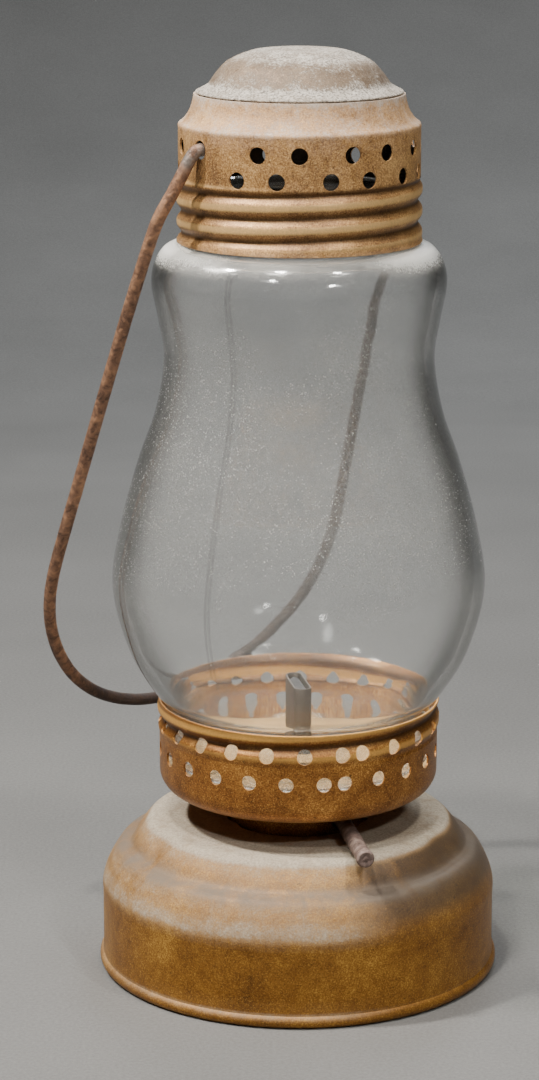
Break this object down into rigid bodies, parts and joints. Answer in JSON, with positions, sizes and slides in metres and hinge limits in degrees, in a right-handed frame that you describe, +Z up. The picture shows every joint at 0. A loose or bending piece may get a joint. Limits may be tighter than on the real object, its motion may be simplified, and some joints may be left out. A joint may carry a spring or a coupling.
{
  "type": "skater's oil lantern",
  "caption": "Small screw-together oil lantern: tin fount, perforated flat-wick burner, pear-shaped glass globe, vented cap and a swinging wire bail.",
  "frame": {"origin": "centre of the fount's flat bottom, on the lantern's axis", "axes": "+Z up along the lantern's axis, -Y towards the front where the wick spindle comes out"},
  "size_m": [0.0889, 0.0904, 0.178],
  "materials": {
    "fount_lacquer": "worn bronze lacquer on tin, dusty on upward faces",
    "bottom_tin": "dull lacquered tin, scuffed",
    "collar_brass": "dull brass",
    "burner_lacquer": "golden bronze lacquer, worn on the crests",
    "deck_tin": "tin floor under cream dust",
    "tube_tin": "heat-dulled tin",
    "bracket_brass": "dull brass",
    "wick_cotton": "flat woven cotton, charred at the top",
    "spindle_iron": "rusty iron",
    "wheel_brass": "dull brass",
    "globe_glass": "clear mould-blown glass with a film of dust",
    "cap_lacquer": "worn bronze lacquer on tin, golden on the thread crests",
    "crown_lacquer": "bronze lacquer under thick grey dust",
    "bail_wire": "iron wire with red-brown rust"
  },
  "bodies": {
    "fount": {"fount_shell": "fount_lacquer", "fount_bottom": "bottom_tin", "fount_collar": "collar_brass"},
    "burner": {"burner_neck": "burner_lacquer", "gallery_cup": "burner_lacquer", "burner_deck": "deck_tin", "wick_tube": "tube_tin", "spindle_bracket": "bracket_brass"},
    "wick_raiser": {"spindle": "spindle_iron", "star_wheel_front": "wheel_brass", "star_wheel_rear": "wheel_brass"},
    "wick_strip": {"wick": "wick_cotton"},
    "glass": {"globe": "globe_glass"},
    "cap": {"cap_band": "cap_lacquer", "cap_crown": "crown_lacquer"},
    "handle": {"bail": "bail_wire"}
  },
  "joints": [
    {"name": "burner_lift", "type": "slide", "parent": "fount", "child": "burner", "axis": [0, 0, 1], "range_m": [0, 0.03]},
    {"name": "spindle_turn", "type": "hinge", "parent": "burner", "child": "wick_raiser", "pos_m": [0.0062, 0.00109, 0.0316], "axis": [-0.1736, 0.9848, 0], "range_deg": [-45, 90]},
    {"name": "wick_raise", "type": "slide", "parent": "burner", "child": "wick_strip", "axis": [0, 0, 1], "range_m": [-0.0039, 0.0078]},
    {"name": "globe_lift", "type": "slide", "parent": "burner", "child": "glass", "axis": [0, 0, 1], "range_m": [0, 0.03]},
    {"name": "cap_lift", "type": "slide", "parent": "glass", "child": "cap", "axis": [0, 0, 1], "range_m": [0, 0.02]},
    {"name": "bail_swing", "type": "hinge", "parent": "cap", "child": "handle", "pos_m": [0, 0, 0.1606], "axis": [0.809, 0.5878, 0], "range_deg": [-5.5, 322.1]}
  ],
  "couplings": [
    {"joint": "spindle_turn", "follows": "wick_raise", "rad_per_m": 200}
  ]
}
